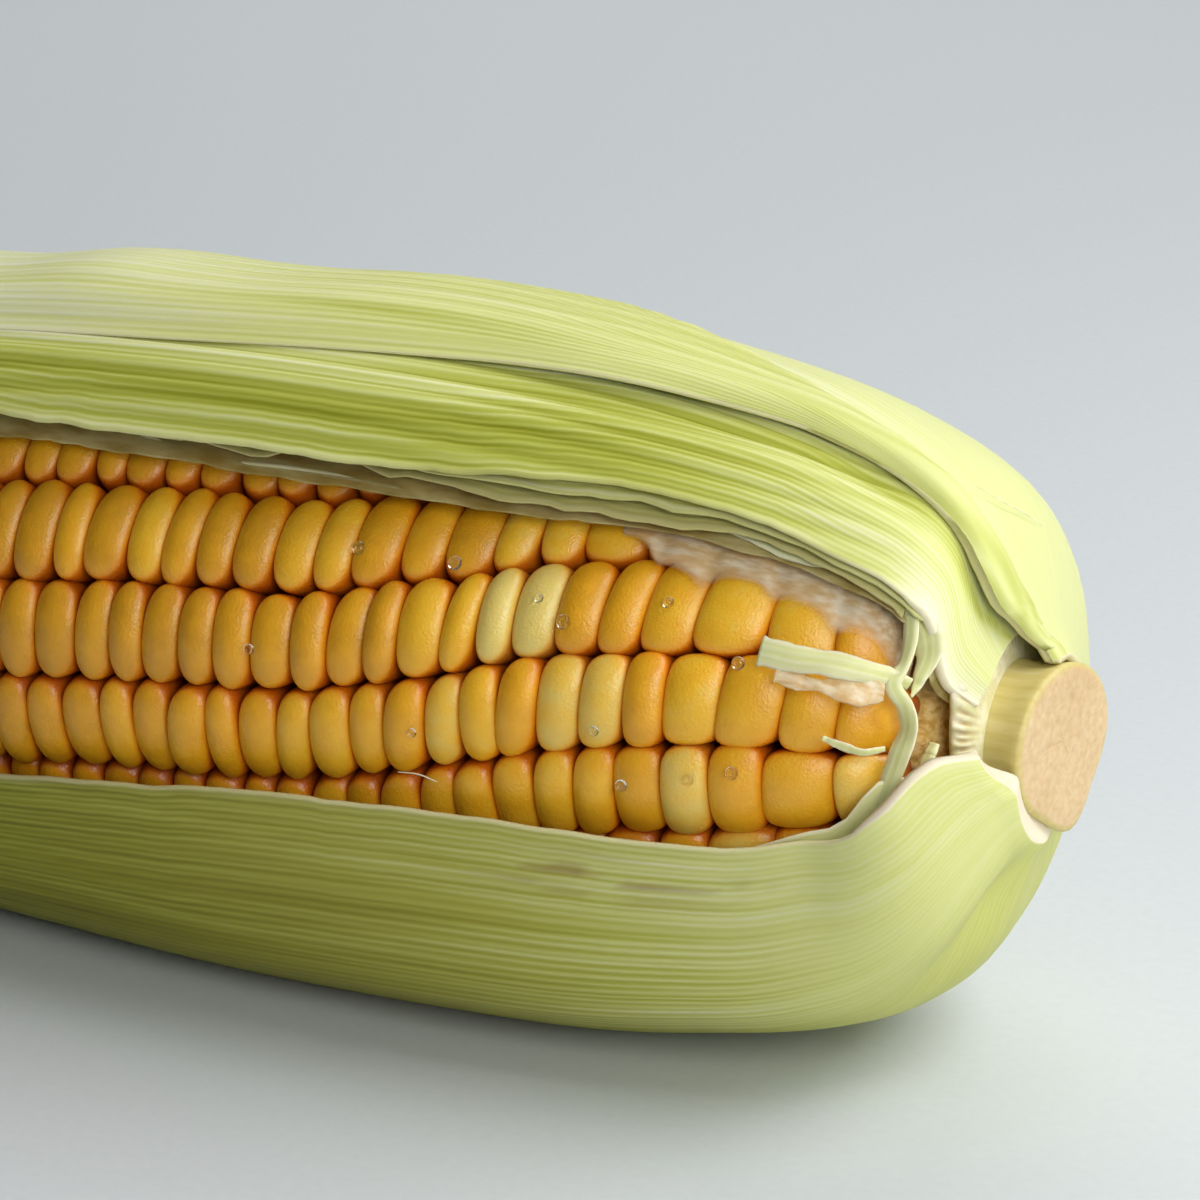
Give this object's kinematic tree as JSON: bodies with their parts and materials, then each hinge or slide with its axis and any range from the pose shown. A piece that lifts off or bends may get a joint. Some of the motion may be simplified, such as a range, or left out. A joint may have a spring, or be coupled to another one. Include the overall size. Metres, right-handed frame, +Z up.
{
  "type": "corn cob",
  "caption": "Ear of fresh sweet corn lying on its side, its pale green husk torn open along the front to show the rows of yellow kernels.",
  "frame": {"origin": "on the flat resting face, straight below the middle of the ear's length", "axes": "+Z up from the surface that the ear lies on, +X along the ear towards the cut stem, -Y towards the open side where the kernels show"},
  "size_m": [0.2563, 0.0584, 0.0641],
  "materials": {
    "kernels": "fresh sweet corn kernel skin: smooth, waxy, softly glossy and slightly translucent",
    "cob_core": "chaffy, dry tan cob tissue",
    "stem": "fresh cut corn stem, fibrous and pale, with a moist cut face",
    "husk_green": "fresh green corn husk leaf with fine lengthwise veins and a satin sheen",
    "husk_pale": "fresh pale green to cream corn husk leaf with fine lengthwise veins",
    "husk_film": "thin translucent inner husk film, damp and slightly glossy",
    "silk": "corn silk: fine, soft, golden to brown threads"
  },
  "bodies": {
    "root": {"cob_core": "cob_core", "stem": "stem", "kernel_row_01": "kernels", "kernel_row_02": "kernels", "kernel_row_03": "kernels", "kernel_row_04": "kernels", "kernel_row_05": "kernels", "kernel_row_06": "kernels", "kernel_row_07": "kernels", "kernel_row_08": "kernels", "kernel_row_09": "kernels", "kernel_row_10": "kernels", "kernel_row_11": "kernels", "kernel_row_12": "kernels", "kernel_row_13": "kernels", "kernel_row_14": "kernels", "kernel_row_15": "kernels", "kernel_row_16": "kernels", "outer_top_leaf": "husk_pale", "outer_side_leaf": "husk_pale", "upper_leaf_ribbed": "husk_green", "upper_leaf_middle": "husk_green", "upper_leaf_inner": "husk_pale", "husk_membrane": "husk_film", "back_leaf": "husk_green", "front_lower_leaf": "husk_green", "lower_leaf_middle": "husk_pale", "lower_leaf_inner": "husk_pale", "kernel_film": "husk_film", "torn_strip": "husk_film", "torn_base_band": "husk_pale", "torn_tooth": "husk_pale", "silk_tuft": "silk"}
  },
  "joints": []
}
